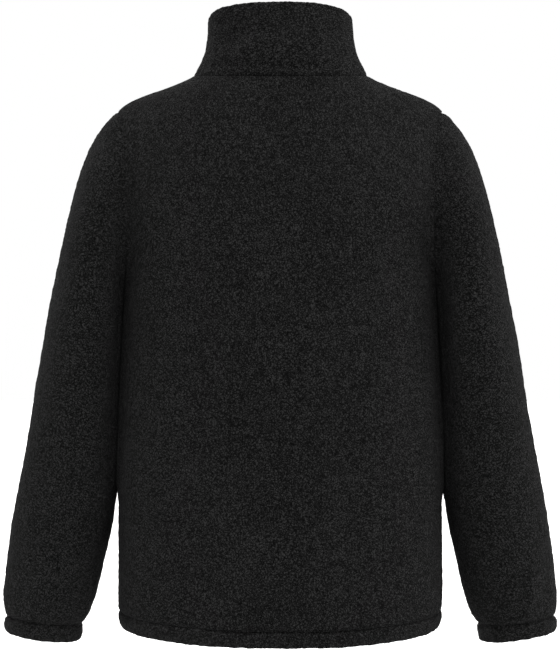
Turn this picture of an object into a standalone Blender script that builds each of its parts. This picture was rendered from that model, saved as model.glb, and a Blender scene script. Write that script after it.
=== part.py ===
# Sherpa fleece jacket in its worn shape, with nobody inside.
# Metres, +Z up. The front faces -Y and the wearer's left is +X. The origin is the middle of the
# neck base, level with the two neck points where the shoulder seams start.
# Each cloth piece is a closed wall: an outer net of points, worked out from the tables below,
# and an inner net one cloth thickness behind it.

import math

import bmesh
import bpy
import numpy as np

# ---- cloth and seams ----
CLOTH = 0.004            # ground fabric and flattened pile together
COLLAR_CLOTH = 0.0085    # two layers
BAND_CLOTH = 0.0075      # hem and cuff bands, turned double
SEAM_GAP = 0.0004        # between pieces that are sewn together
SEAM_DIP = 0.0016        # how far a seam pulls the outer face in
SEAM_REACH = 0.006       # how far from the seam the face is full again
ROLL_DEGREES = (35, 65)  # where points lie on a turned edge
ZIP_EDGE = 0.009         # half of the opening that the zip fills

# ---- body ----
UNDERARM_Z = -0.260
HEM_Z = -0.6805          # hem at the side
# How much lower the hem is at the centre than at the side, and how deep the body is there.
HEM_SAG = {"back": 0.0085, "front": 0.004}
HEM_REACH = {"back": 0.142, "front": 0.153}
BAND_HEIGHT = 0.0205
HEM_PULL = 0.003         # how far the elastic draws the hem's edge in
MID_ARMHOLE = (0.1862, 0.061, -0.160)   # back of the armhole; the front is its mirror
NECK_HALF_WIDTH = 0.110
NECK_CENTRE = {"back": (0.078, -0.009), "front": (-0.092, -0.050)}   # y and z
NECK_FALL = {"back": 1.5, "front": 1.7}          # power by which the seam falls to the centre

# Level sections of the body below the arms, and the one half way up the armhole.
BODY_COLUMNS = ("z", "half_width", "back", "front", "squareness")
BODY_ROWS = (
    (-0.700, 0.2010, 0.1430, -0.1535, 2.40),
    (-0.600, 0.2013, 0.1405, -0.1540, 2.40),
    (-0.500, 0.2006, 0.1385, -0.1530, 2.40),
    (-0.400, 0.1982, 0.1385, -0.1520, 2.38),
    (-0.320, 0.1940, 0.1405, -0.1515, 2.36),
    (-0.260, 0.1908, 0.1425, -0.1500, 2.35),
)
MID_DEPTH = {"back": 0.1355, "front": -0.1400}
MID_SQUARENESS = 2.35
CHEST_LEAN = {"back": 0.13, "front": 0.18}       # how far the face leans in on its way up
NECK_STEEPNESS = {"back": 64, "front": 72}       # degrees at the centre of the neck seam
NECK_POINT_TURN = 45     # degrees that the cloth turns in towards the neck point
ARMPIT_REACH = 0.100     # how strongly the armhole's edge leaves the underarm level
SETTLE_PASSES = 6        # evening out of the rows that run past the neck point

# The shoulder seam, from the neck point to the shoulder tip.
SHOULDER_COLUMNS = ("x", "z")
SHOULDER_ROWS = (
    (0.1100, 0.0000),
    (0.1246, -0.0068),
    (0.1439, -0.0146),
    (0.1663, -0.0218),
    (0.1832, -0.0286),
    (0.1969, -0.0366),
    (0.2030, -0.0415),
)

# Soft upright folds of the body: a ridge is positive, a trough negative. x runs from x_top to
# x_low between the two heights.
FOLD_COLUMNS = ("face", "x_top", "x_low", "z_top", "z_low", "width", "height")
BODY_FOLDS = (
    ("back", 0.088, 0.112, -0.14, -0.62, 0.026, -0.0028),
    ("back", -0.100, -0.082, -0.20, -0.58, 0.028, -0.0022),
    ("back", 0.040, 0.050, -0.30, -0.70, 0.024, 0.0018),
    ("back", -0.030, -0.058, -0.34, -0.70, 0.026, 0.0020),
    ("back", 0.150, 0.158, -0.30, -0.64, 0.020, -0.0016),
    ("front", 0.090, 0.104, -0.20, -0.60, 0.028, -0.0026),
    ("front", -0.096, -0.110, -0.18, -0.64, 0.026, -0.0024),
    ("front", 0.140, 0.150, -0.34, -0.70, 0.022, 0.0018),
    ("front", -0.052, -0.060, -0.36, -0.70, 0.026, 0.0016),
)

# ---- collar: from its seam (0) to its top edge (1) ----
COLLAR_COLUMNS = ("part", "half_width", "back", "front")
COLLAR_ROWS = (
    (0.00, 0.1100, 0.0785, -0.0920),
    (0.12, 0.1040, 0.0785, -0.0930),
    (0.22, 0.0998, 0.0783, -0.0937),
    (0.33, 0.0962, 0.0780, -0.0942),
    (0.45, 0.0936, 0.0775, -0.0946),
    (0.65, 0.0918, 0.0768, -0.0950),
    (0.85, 0.0908, 0.0762, -0.0950),
    (1.00, 0.0902, 0.0758, -0.0950),
)
COLLAR_SQUARENESS = 2.25
COLLAR_TOP = (0.0708, 0.246, -1.234)   # height of the top edge, as a quadratic in y
NECK_TO_TOP = 0.086                    # along the cloth

# ---- sleeve: rings from the armhole to the cuff seam ----
# outer and inner are the ends of the ring in the X-Z plane; back and front are its depths.
SLEEVE_COLUMNS = ("outer_x", "outer_z", "inner_x", "inner_z", "centre_y", "back", "front",
                  "outer_squareness", "inner_squareness")
SLEEVE_ROWS = (
    (0.2030, -0.0415, 0.1922, -0.2604, 0.000, 0.0620, 0.0620, 2.0, 2.0),
    (0.2130, -0.0500, 0.1926, -0.2622, 0.000, 0.0700, 0.0690, 2.0, 2.1),
    (0.2249, -0.0660, 0.1930, -0.2650, 0.000, 0.0765, 0.0755, 2.0, 2.2),
    (0.2405, -0.0925, 0.1935, -0.2690, 0.001, 0.0820, 0.0810, 2.0, 2.3),
    (0.2554, -0.1408, 0.1944, -0.2790, 0.002, 0.0870, 0.0860, 2.0, 2.5),
    (0.2682, -0.1950, 0.1958, -0.2960, 0.002, 0.0890, 0.0880, 2.0, 2.6),
    (0.2790, -0.2470, 0.1974, -0.3230, 0.002, 0.0875, 0.0865, 2.0, 2.6),
    (0.2922, -0.3152, 0.1994, -0.3650, 0.001, 0.0830, 0.0830, 2.0, 2.6),
    (0.3058, -0.3950, 0.2012, -0.4230, -0.001, 0.0775, 0.0785, 2.0, 2.5),
    (0.3180, -0.4648, 0.2028, -0.4810, -0.005, 0.0725, 0.0735, 2.0, 2.4),
    (0.3292, -0.5180, 0.2052, -0.5340, -0.010, 0.0685, 0.0690, 2.0, 2.3),
    (0.3402, -0.5830, 0.2176, -0.5900, -0.016, 0.0640, 0.0640, 2.1, 2.3),
    (0.3466, -0.6320, 0.2308, -0.6460, -0.021, 0.0590, 0.0590, 2.1, 2.2),
    (0.3482, -0.6530, 0.2384, -0.6680, -0.023, 0.0560, 0.0560, 2.1, 2.2),
    (0.3464, -0.6728, 0.2466, -0.6838, -0.024, 0.0505, 0.0505, 2.1, 2.2),
)
# The cuff band, from its seam to its edge.
CUFF_ROWS = (
    (0.3464, -0.6729, 0.2466, -0.6839, -0.024, 0.0505, 0.0505, 2.1, 2.2),
    (0.3480, -0.6800, 0.2478, -0.6920, -0.025, 0.0510, 0.0510, 2.1, 2.2),
    (0.3478, -0.6865, 0.2488, -0.6995, -0.025, 0.0508, 0.0508, 2.1, 2.2),
    (0.3456, -0.6930, 0.2508, -0.7065, -0.025, 0.0490, 0.0490, 2.1, 2.2),
)
SLEEVE_GATHERS = 5        # soft waves that the cuff seam draws up
GATHER_DEPTH = 0.0012
ARMHOLE_RINGS = 4.5       # table rows over which a sleeve takes up the armhole's shape

# ---- zip ----
CHAIN_HALF_WIDTH = 0.0028
CHAIN_DEPTHS = (0.0010, 0.0034)        # below the outer face of the cloth
TAPE_DEPTHS = (0.0018, 0.0026)
ZIP_GAP = 0.0003
BOX_HEIGHT = 0.010
BOX_HALF_WIDTH = 0.0052
BOX_DEPTHS = (0.0006, 0.0040)
BOX_FROM_HEM = 0.0005
TAPE_FROM_TOP = 0.002
SLIDER_HEIGHT = 0.014
SLIDER_HALF_WIDTH = 0.0046
SLIDER_FROM_TOP = 0.016                # slider middle below the end of the collar's edge
SLIDER_GAP = 0.0003
PLATE = 0.0012
PLATE_OUT = 0.0006                     # front plate proud of the cloth face
POST = (0.0020, 0.0055)                # heights above the slider's middle
POST_HALF_WIDTH = 0.0016
PIVOT_OUT = 0.0021                     # hinge axis in front of the cloth face
BAIL_INSIDE = 0.0016                   # half height of the bail's eye
BAIL_WIRE = 0.0011
EYE_ABOVE_PLATE = 0.00002
BAIL_HALF_WIDTH = 0.0009
PULL_LENGTH = 0.033
PULL_HALF_WIDTH = 0.0035
PULL_THICKNESS = 0.0016
PULL_SLOT_HALF_WIDTH = 0.0018
PULL_SLOT_LENGTH = 0.0056
PULL_BEVEL = 0.0004
OVERLAP = 0.0002                       # of solids that are joined into one
CUTTER_REACH = 0.003

# ---- how fine the nets are ----
NECK_STEPS = 9           # columns from the centre to the neck point
SHOULDER_STEPS = 6       # columns from the neck point to the armhole
SIDE_STEPS = 12          # rows from underarm to neck, which are the sleeve's columns too
BODY_STEPS = 12          # rows from hem seam to underarm
SLEEVE_STEPS = 20
COLLAR_STEPS = 5
ZIP_STEPS = 30
DENSE = 160              # points of a curve before it is divided evenly

FLEECE = ("black_fleece", (0.012, 0.012, 0.013, 1.0), 0.95, 0.0)
TAPE_CLOTH = ("black_tape", (0.014, 0.014, 0.015, 1.0), 0.85, 0.0)
ZIP_RESIN = ("black_resin", (0.010, 0.010, 0.011, 1.0), 0.45, 0.0)
ZIP_METAL = ("dark_metal", (0.045, 0.045, 0.048, 1.0), 0.35, 1.0)


# ---- curves ----

def table(names, rows):
    return {name: np.array([row[i] for row in rows]) for i, name in enumerate(names)}


def smooth(knots, values, at):
    """Monotone cubic through the values of a table's column, so that it never overshoots."""
    knots = np.asarray(knots, float)
    values = np.asarray(values, float)
    at = np.clip(np.asarray(at, float), knots[0], knots[-1])
    step = np.diff(knots)
    slope = np.diff(values) / step
    rate = np.zeros(len(knots))
    rate[0], rate[-1] = slope[0], slope[-1]
    for i in range(1, len(knots) - 1):
        if slope[i - 1] * slope[i] > 0:
            a = 2 * step[i] + step[i - 1]
            b = step[i] + 2 * step[i - 1]
            rate[i] = (a + b) / (a / slope[i - 1] + b / slope[i])
    i = np.clip(np.searchsorted(knots, at, side="right") - 1, 0, len(step) - 1)
    t = (at - knots[i]) / step[i]
    return (values[i] * (1 + 2 * t) * (1 - t) ** 2 + step[i] * rate[i] * t * (1 - t) ** 2
            + values[i + 1] * t * t * (3 - 2 * t) + step[i] * rate[i + 1] * t * t * (t - 1))


def even(points, parts):
    """Points at the given parts of a polyline's length."""
    points = np.asarray(points, float)
    run = np.concatenate([[0], np.cumsum(np.linalg.norm(np.diff(points, axis=0), axis=1))])
    at = np.asarray(parts) * run[-1]
    return np.stack([np.interp(at, run, points[:, i]) for i in range(points.shape[1])], axis=1)


def ease(low, high, value):
    t = np.clip((value - low) / (high - low), 0, 1)
    return t * t * (3 - 2 * t)


def unit(vectors):
    return vectors / np.linalg.norm(vectors, axis=-1, keepdims=True)


def bend(start, end, start_way, end_way):
    """Cubic from start to end that leaves and arrives along the two vectors."""
    t = np.linspace(0, 1, DENSE)[:, None]
    return (start * (1 + 2 * t) * (1 - t) ** 2 + start_way * t * (1 - t) ** 2
            + end * t * t * (3 - 2 * t) + end_way * t * t * (t - 1))


def quarter(half_width, depth, squareness, angles):
    """Part of a superellipse; angle 0 is the centre (x = 0) and a right angle is the side."""
    x = half_width * np.sin(angles) ** (2 / squareness)
    y = depth * np.cos(angles) ** (2 / squareness)
    return x, y


# ---- the body's surface ----

def neck_curve(face, start_x):
    """Half of the neck seam, from the centre to the neck point."""
    y_end, z_end = NECK_CENTRE[face]
    first = math.asin((start_x / NECK_HALF_WIDTH) ** (COLLAR_SQUARENESS / 2))
    x, y = quarter(NECK_HALF_WIDTH, y_end, COLLAR_SQUARENESS,
                   np.linspace(first, math.pi / 2, DENSE))
    y[-1] = 0
    return np.stack([x, y, z_end * np.abs(y / y_end) ** NECK_FALL[face]], axis=1)


def shoulder_curve():
    seam = table(SHOULDER_COLUMNS, SHOULDER_ROWS)
    x = np.linspace(seam["x"][0], seam["x"][-1], DENSE)
    return np.stack([x, np.zeros(DENSE), smooth(seam["x"], seam["z"], x)], axis=1)


def hem_fall(face, y, z):
    """The hem is lower at the centre, and the rows above it share that in proportion."""
    share = max((UNDERARM_Z - z) / (UNDERARM_Z - HEM_Z), 0)
    return z - HEM_SAG[face] * share * np.abs(y / HEM_REACH[face]) ** 2


def level(face, z, start_x):
    """Half of the level section at height z, from the centre to the side seam."""
    body = table(BODY_COLUMNS, BODY_ROWS)
    half_width, depth, squareness = (
        float(smooth(body["z"], body[name], z)) for name in ("half_width", face, "squareness"))
    first = math.asin((start_x / half_width) ** (squareness / 2))
    x, y = quarter(half_width, depth, squareness, np.linspace(first, math.pi / 2, DENSE))
    y[-1] = 0
    return np.stack([x, y, hem_fall(face, y, z)], axis=1)


def mid_level(face, start_x):
    """Half of the section that ends on the armhole seam half way up."""
    side_x, side_y, z = MID_ARMHOLE
    depth = MID_DEPTH[face]
    n = MID_SQUARENESS
    half_width = side_x / (1 - (side_y / abs(depth)) ** n) ** (1 / n)
    first = math.asin((start_x / half_width) ** (n / 2))
    last = math.acos((side_y / abs(depth)) ** (n / 2))
    x, y = quarter(half_width, depth, n, np.linspace(first, last, DENSE))
    return np.stack([x, y, np.full(DENSE, z)], axis=1)


def column_parts(face, start_x):
    """How the half panel's width is shared out, with a column on the neck point."""
    lengths = [np.linalg.norm(np.diff(curve, axis=0), axis=1).sum()
               for curve in (neck_curve(face, start_x), shoulder_curve())]
    corner = lengths[0] / sum(lengths)
    neck = np.linspace(0, corner, NECK_STEPS + 1)
    return np.concatenate([neck, np.linspace(corner, 1, SHOULDER_STEPS + 1)[1:]]), corner


def upper_rows(face, start_x, parts, corner):
    """Rows from the underarm to the neck and shoulder seams. Each column is one curve from the
    underarm level through the middle level to its place on the seam."""
    back = 1.0 if face == "back" else -1.0
    top = np.concatenate([
        even(neck_curve(face, start_x), np.linspace(0, 1, NECK_STEPS + 1)),
        even(shoulder_curve(), np.linspace(0, 1, SHOULDER_STEPS + 1))[1:]])
    below = even(level(face, UNDERARM_Z - 0.01, start_x), parts)
    underarm = even(level(face, UNDERARM_Z, start_x), parts)
    middle = even(mid_level(face, start_x), parts)
    steepest = math.radians(NECK_STEEPNESS[face])
    inwards = unit(top[NECK_STEPS] - top[NECK_STEPS + 1])
    columns = []
    for i, part in enumerate(parts):
        at_armhole = float(ease(0.80, 1.0, part))
        at_tip = float(ease(0.90, 1.0, part))
        chord = np.linalg.norm(middle[i] - underarm[i])
        rise = unit(underarm[i] - below[i]) * chord
        leave = rise * (1 - at_armhole) + np.array([0, back * ARMPIT_REACH, 0]) * at_armhole
        lean = 0.05 * at_armhole - CHEST_LEAN[face] * (1 - at_armhole)
        climb = unit(np.array([0, back * lean, 1.0]))
        lower = bend(underarm[i], middle[i], leave, climb * chord * (1 + 0.4 * at_armhole))
        chord = np.linalg.norm(top[i] - middle[i])
        beside_neck = min(part / corner, 1.0)
        along_shoulder = max((part - corner) / (1 - corner), 0.0)
        turn = math.radians(NECK_POINT_TURN) * beside_neck * (1 - along_shoulder) ** 2
        slope = steepest * (1 - beside_neck) ** 1.3
        over = np.array([0.25 * at_tip, -back * math.cos(slope), math.sin(slope) + 0.1 * at_tip])
        arrive = unit(over * math.cos(turn) + inwards * math.sin(turn))
        lift = 1 + 0.25 * float(ease(0.3, 0.8, part))
        upper = bend(middle[i], top[i], climb * chord * lift, arrive * chord)
        columns.append(even(np.concatenate([lower, upper[1:]]),
                            np.linspace(0, 1, SIDE_STEPS + 1)))
    return settle(np.stack(columns, axis=1))


def settle(net):
    """Evens the rows out near the top, with the net's edges kept."""
    share = ease(0.45, 0.85, np.linspace(0, 1, len(net)))[1:-1, None, None] / 2
    for _ in range(SETTLE_PASSES):
        middle = (net[1:-1, :-2] + net[1:-1, 2:]) / 2
        net[1:-1, 1:-1] += (middle - net[1:-1, 1:-1]) * share
    return net


def half_panel(face, start_x):
    """Rows from the hem seam to the neck and shoulder seams, columns from the centre to the
    side seam and armhole, with one more column close to the armhole for the seam's dip."""
    parts, corner = column_parts(face, start_x)
    seam_z = HEM_Z + BAND_HEIGHT
    heights = np.linspace(seam_z, UNDERARM_Z, BODY_STEPS + 1)
    heights = np.insert(heights, 1, seam_z + SEAM_REACH)
    lower = np.stack([even(level(face, z, start_x), parts) for z in heights])
    net = np.concatenate([lower, upper_rows(face, start_x, parts, corner)[1:]])
    edge, beside = net[:, -1], net[:, -2]
    width = np.linalg.norm(beside - edge, axis=1, keepdims=True)
    close = edge + (beside - edge) * np.minimum(SEAM_REACH / width, 0.5)
    return np.insert(net, -1, close, axis=1)


def fold_height(face, x, z):
    total = np.zeros(np.shape(x))
    for row in BODY_FOLDS:
        fold = dict(zip(FOLD_COLUMNS, row))
        if fold["face"] != face:
            continue
        down = (fold["z_top"] - z) / (fold["z_top"] - fold["z_low"])
        middle = fold["x_top"] + (fold["x_low"] - fold["x_top"]) * down
        along = ease(-0.15, 0.2, down) * ease(1.25, 0.85, down)
        total += fold["height"] * along * np.exp(-((x - middle) / fold["width"]) ** 2)
    return total


# ---- the sleeve's surface ----

def ring(row):
    """Closed ring of a sleeve, from its outer end along the back to its inner end, and along
    the front again. row holds the values of SLEEVE_COLUMNS."""
    spot = dict(zip(SLEEVE_COLUMNS, row))
    outer = np.array([spot["outer_x"], spot["centre_y"], spot["outer_z"]])
    inner = np.array([spot["inner_x"], spot["centre_y"], spot["inner_z"]])
    angles = np.linspace(0, math.pi, DENSE)
    n = np.where(angles < math.pi / 2, spot["outer_squareness"], spot["inner_squareness"])
    along = np.sign(np.cos(angles)) * np.abs(np.cos(angles)) ** (2 / n)
    deep = np.abs(np.sin(angles)) ** (2 / n)
    deep[0] = deep[-1] = 0
    halves = []
    for depth in (spot["back"], -spot["front"]):
        curve = (outer + inner) / 2 + along[:, None] * (outer - inner) / 2
        curve[:, 1] += depth * deep
        halves.append(even(curve, np.linspace(0, 1, SIDE_STEPS + 1)))
    return np.concatenate([halves[0], halves[1][-2:0:-1]])


def rings(rows, at):
    values = np.array(rows)
    knots = np.arange(len(rows))
    return np.stack([ring(row) for row in
                     np.stack([smooth(knots, column, at) for column in values.T], axis=1)])


def sleeve_net(armhole):
    """Rings from the armhole seam, which is the first ring, down to the cuff seam."""
    at = np.linspace(0, len(SLEEVE_ROWS) - 1, SLEEVE_STEPS + 1)
    at = np.insert(at, 1, at[1] * 0.4)
    net = rings(SLEEVE_ROWS, at)
    keep = np.clip(1 - at / ARMHOLE_RINGS, 0, 1) ** 2
    net += keep[:, None, None] * (armhole - net[0])
    turn = np.arange(net.shape[1]) / net.shape[1] * 2 * math.pi
    wave = np.sin(SLEEVE_GATHERS * turn + 0.8 * np.sin(2 * turn))
    depth = GATHER_DEPTH * ease(at[-1] - 3.5, at[-1] - 1, at) * ease(at[-1] + 0.6, at[-1] - 1, at)
    outward = unit(net - net.mean(axis=1, keepdims=True))
    return net + outward * (depth[:, None] * wave)[..., None]


# ---- nets into solids ----

def outward(net, sign, closed=False):
    """Unit normals of a net. sign makes them point out of the garment."""
    if closed:
        across = np.roll(net, -1, axis=1) - np.roll(net, 1, axis=1)
    else:
        across = np.gradient(net, axis=1)
    return sign * unit(np.cross(across, np.gradient(net, axis=0)))


def level_centre(normal):
    """On the centre line a panel faces straight back or forward."""
    normal[:, 0, 0] = 0
    normal[:, 0] = unit(normal[:, 0])


def share_seam(own, other):
    """At a seam that is nearly flat both walls are cut along one shared direction. Where the
    two faces turn towards each other, each wall keeps its own."""
    meet = np.sum(own * other, axis=-1, keepdims=True)
    return unit(own + other * ease(-0.2, 0.4, meet))


def draw_back(net, edges):
    """Opens half of the seam gap along the named edges of a net."""
    net = net.copy()
    turned = net.swapaxes(0, 1)
    sides = {"first row": (net, 0, 1), "last row": (net, -1, -2),
             "first column": (turned, 0, 1), "last column": (turned, -1, -2)}
    for edge in edges:
        lines, at, beside = sides[edge]
        lines[at] += unit(lines[beside] - lines[at]) * SEAM_GAP / 2
    return net


def mirrored(net):
    return net * np.array([-1.0, 1.0, 1.0])


def both_halves(net):
    """A net from the centre to the side becomes one from side to side."""
    return np.concatenate([net[:, ::-1], mirrored(net)[:, 1:]], axis=1)


def roll_rows(height, thickness, steps):
    """For a doubled strip: how far each row lies from the seam, and how far its outer and
    inner points lie under the outer face. The far edge is rolled round."""
    radius = thickness / 2
    rows = [(0.0, SEAM_DIP, thickness - SEAM_DIP)]
    for distance in np.linspace(SEAM_REACH, height - radius, steps + 1):
        rows.append((distance, 0.0, thickness))
    for degrees in ROLL_DEGREES:
        inset = radius * (1 - math.cos(math.radians(degrees)))
        distance = height - radius * (1 - math.sin(math.radians(degrees)))
        rows.append((distance, inset, thickness - inset))
    return np.array(rows)


def start_scene():
    for thing in list(bpy.data.objects):
        bpy.data.objects.remove(thing)
    collections = []
    for name in ("sherpa_jacket", "cutters"):
        collection = bpy.data.collections.new(name)
        bpy.context.scene.collection.children.link(collection)
        collections.append(collection)
    return collections


def finish_of(look):
    name, colour, roughness, metallic = look
    material = bpy.data.materials.get(name)
    if material is None:
        material = bpy.data.materials.new(name)
        material.use_nodes = True
        shader = material.node_tree.nodes["Principled BSDF"]
        shader.inputs["Base Color"].default_value = colour
        shader.inputs["Roughness"].default_value = roughness
        shader.inputs["Metallic"].default_value = metallic
    return material


def place(name, shape, look, collection, soft=True):
    """Makes the object of a finished bmesh. Cloth is shaded soft, and small hardware flat."""
    bmesh.ops.recalc_face_normals(shape, faces=shape.faces)
    mesh = bpy.data.meshes.new(name)
    shape.to_mesh(mesh)
    shape.free()
    mesh.materials.append(finish_of(look))
    if soft:
        mesh.shade_smooth()
        mesh.set_sharp_from_angle(angle=math.radians(45))
    thing = bpy.data.objects.new(name, mesh)
    collection.objects.link(thing)
    return thing


def wall(name, outer, inner, look, collection, closed=False):
    """A closed solid between two nets of the same size, with rims along their open edges."""
    rows, columns = outer.shape[:2]
    shape = bmesh.new()
    skins = [[[shape.verts.new(point) for point in line] for line in net]
             for net in (outer, inner)]
    spans = [(c, (c + 1) % columns) for c in range(columns if closed else columns - 1)]
    for skin in skins:
        for r in range(rows - 1):
            for c, d in spans:
                shape.faces.new((skin[r][c], skin[r][d], skin[r + 1][d], skin[r + 1][c]))
    front, behind = skins
    for r in (0, -1):
        for c, d in spans:
            shape.faces.new((front[r][c], front[r][d], behind[r][d], behind[r][c]))
    if not closed:
        for c in (0, -1):
            for r in range(rows - 1):
                shape.faces.new((front[r][c], front[r + 1][c], behind[r + 1][c], behind[r][c]))
    return place(name, shape, look, collection)


# ---- body, sleeves and bands ----

def shoulder_normals(half):
    """Upright normals along the shoulder seam, square to its slope."""
    slope = np.gradient(half[-1, NECK_STEPS:], axis=0)
    return unit(np.stack([-slope[:, 2], np.zeros(len(slope)), slope[:, 0]], axis=1))


def make_body(parts):
    """Back, fronts and sleeves together, because they share the directions of their seams."""
    back = half_panel("back", 0.0)
    front = half_panel("front", ZIP_EDGE)
    first = len(back) - SIDE_STEPS - 1           # the underarm row
    armhole = np.concatenate([back[first:, -1][::-1], front[first + 1:-1, -1]])
    sleeve = sleeve_net(armhole)

    back_out = outward(back, -1)
    front_out = outward(front, 1)
    sleeve_out = outward(sleeve, -1, closed=True)
    level_centre(back_out)
    level_centre(front_out)
    seam = shoulder_normals(back)
    for normal in (back_out, front_out):
        normal[-1, NECK_STEPS:] = seam
        normal[:first + 1, -1] = (1.0, 0.0, 0.0)

    count = SIDE_STEPS + 1
    for body_out, at in ((back_out, list(range(count))),
                         (front_out, [0] + list(range(2 * SIDE_STEPS - 1, count - 2, -1)))):
        body_edge = body_out[first:, -1][::-1].copy()
        sleeve_edge = sleeve_out[0, at].copy()
        body_out[first:, -1] = share_seam(body_edge, sleeve_edge)[::-1]
        sleeve_out[0, at] = share_seam(sleeve_edge, body_edge)
    sleeve_out[0, SIDE_STEPS] = (-1.0, 0.0, 0.0)
    back_out[first, -1] = front_out[first, -1] = (1.0, 0.0, 0.0)

    make_back(parts, back, back_out, first)
    make_front(parts, front, front_out, first)
    make_sleeve(parts, sleeve, sleeve_out)
    return back, front


def make_dips(net, normal, first):
    """Pulls the outer face in at the armhole and at the seam of the hem band."""
    dipped = net.copy()
    dipped[first + 1:, -1] -= normal[first + 1:, -1] * SEAM_DIP
    dipped[0] -= normal[0] * SEAM_DIP
    return dipped


def make_back(parts, half, half_out, first):
    net, normal = both_halves(half), both_halves(half_out)
    free = np.ones(net.shape[:2])
    free[:, :3] = free[:, -3:] = 0
    free[-4:] = 0
    lift = fold_height("back", net[..., 0], net[..., 2]) * free
    dipped = both_halves(make_dips(half, half_out, first))
    edges = ("first row", "last row", "first column", "last column")
    outer = draw_back(dipped + normal * lift[..., None], edges)
    inner = draw_back(net + normal * (lift - CLOTH)[..., None], edges)
    wall("back", outer, inner, FLEECE, parts)


def make_front(parts, half, half_out, first):
    dipped = make_dips(half, half_out, first)
    free = np.ones(half.shape[:2])
    free[:, -3:] = free[:, :2] = 0
    free[-4:] = 0
    edges = ("first row", "last row", "last column")
    for name, side in (("front_left", 1.0), ("front_right", -1.0)):
        turn = np.array([side, 1.0, 1.0])
        lift = fold_height("front", half[..., 0] * side, half[..., 2]) * free
        outer = draw_back(dipped + half_out * lift[..., None], edges) * turn
        inner = draw_back(half + half_out * (lift - CLOTH)[..., None], edges) * turn
        wall(name, outer, inner, FLEECE, parts)


def make_sleeve(parts, net, normal):
    outer = net.copy()
    outer[0] -= normal[0] * SEAM_DIP
    outer[-1] -= normal[-1] * SEAM_DIP
    edges = ("first row", "last row")
    outer = draw_back(outer, edges)
    inner = draw_back(net - normal * CLOTH, edges)
    wall("sleeve_left", outer, inner, FLEECE, parts, closed=True)
    wall("sleeve_right", mirrored(outer), mirrored(inner), FLEECE, parts, closed=True)


def make_cuffs(parts):
    height = np.linalg.norm(np.array(CUFF_ROWS[-1][2:4]) - np.array(CUFF_ROWS[0][2:4]))
    rows = roll_rows(height, BAND_CLOTH, 2)
    net = rings(CUFF_ROWS, rows[:, 0] / height * (len(CUFF_ROWS) - 1))
    normal = outward(net, -1, closed=True)
    outer = net - normal * rows[:, 1, None, None]
    inner = net - normal * rows[:, 2, None, None]
    wall("cuff_left", outer, inner, FLEECE, parts, closed=True)
    wall("cuff_right", mirrored(outer), mirrored(inner), FLEECE, parts, closed=True)


def make_hem_band(parts):
    """One strip from zip to zip round the body."""
    rows = roll_rows(BAND_HEIGHT - SEAM_GAP, BAND_CLOTH, 2)
    lines = []
    for distance in rows[:, 0]:
        z = HEM_Z + BAND_HEIGHT - SEAM_GAP - distance
        pull = HEM_PULL * float(ease(0.3, 1.0, distance / BAND_HEIGHT))
        halves = []
        for face, start_x in (("back", 0.0), ("front", ZIP_EDGE)):
            section, _ = column_parts(face, start_x)
            halves.append(even(level(face, z, start_x), section))
        line = np.concatenate([halves[0], halves[1][-2::-1]])
        inwards = unit(line * np.array([1.0, 1.0, 0.0]))
        lines.append(line - inwards * pull)
    net = np.stack(lines)
    normal = outward(net, 1)
    level_centre(normal)
    normal[:, -1, 0] = 0
    normal[:, -1] = unit(normal[:, -1])
    outer = both_halves(net - normal * rows[:, 1, None, None])
    inner = both_halves(net - normal * rows[:, 2, None, None])
    wall("hem_band", outer, inner, FLEECE, parts)
    return net


def make_collar(parts):
    """The base follows the neck seam, and the top edge falls towards the front."""
    shape = table(COLLAR_COLUMNS, COLLAR_ROWS)
    rows = roll_rows(NECK_TO_TOP, COLLAR_CLOTH, COLLAR_STEPS)
    lines = []
    for distance in rows[:, 0]:
        part = distance / NECK_TO_TOP
        half_width, back, front = (
            float(smooth(shape["part"], shape[name], part))
            for name in ("half_width", "back", "front"))
        halves = []
        for depth, start_x, face in (
                (back, 0.0, "back"), (front, ZIP_EDGE, "front")):
            first = math.asin((start_x / half_width) ** (COLLAR_SQUARENESS / 2))
            x, y = quarter(half_width, depth, COLLAR_SQUARENESS,
                           np.linspace(first, math.pi / 2, DENSE))
            y[-1] = 0
            low = NECK_CENTRE[face][1] * np.abs(y / depth) ** NECK_FALL[face] + SEAM_GAP
            high = COLLAR_TOP[0] + COLLAR_TOP[1] * y + COLLAR_TOP[2] * y * y
            curve = np.stack([x, y, low + (high - low) * part], axis=1)
            halves.append(even(curve, np.linspace(0, 1, NECK_STEPS + 1)))
        lines.append(np.concatenate([halves[0], halves[1][-2::-1]]))
    net = np.stack(lines)
    normal = outward(net, -1)
    level_centre(normal)
    normal[:, -1, 0] = 0
    normal[:, -1] = unit(normal[:, -1])
    outer = both_halves(net - normal * rows[:, 1, None, None])
    inner = both_halves(net - normal * rows[:, 2, None, None])
    wall("collar", outer, inner, FLEECE, parts)
    return net


# ---- zip ----

def zip_path(hem, front, collar):
    """Outer face of the cloth beside the zip, from the hem up, as y and z."""
    line = np.concatenate([hem[::-1, -1], front[:, 0], collar[:, -1]])[:, 1:]
    return even(line, np.linspace(0, 1, ZIP_STEPS * 4))


def path_between(path, low, high, steps):
    """The part of the path between two heights, and its outward normals."""
    way = np.gradient(path, axis=0)
    run = np.linspace(low, high, steps + 1)
    line = np.stack([np.interp(run, path[:, 1], path[:, 0]), run], axis=1)
    along = [np.interp(run, path[:, 1], way[:, i]) for i in (0, 1)]
    return line, unit(np.stack([-along[1], along[0]], axis=1))


def strip(name, path, normal, sides, depths, look, parts):
    """A flat strip along the zip, between two values of x and two depths."""
    nets = []
    for depth in depths:
        line = path - normal * depth
        nets.append(np.stack([np.insert(line, 0, x, axis=1) for x in sides], axis=1))
    return wall(name, nets[0], nets[1], look, parts)


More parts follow.
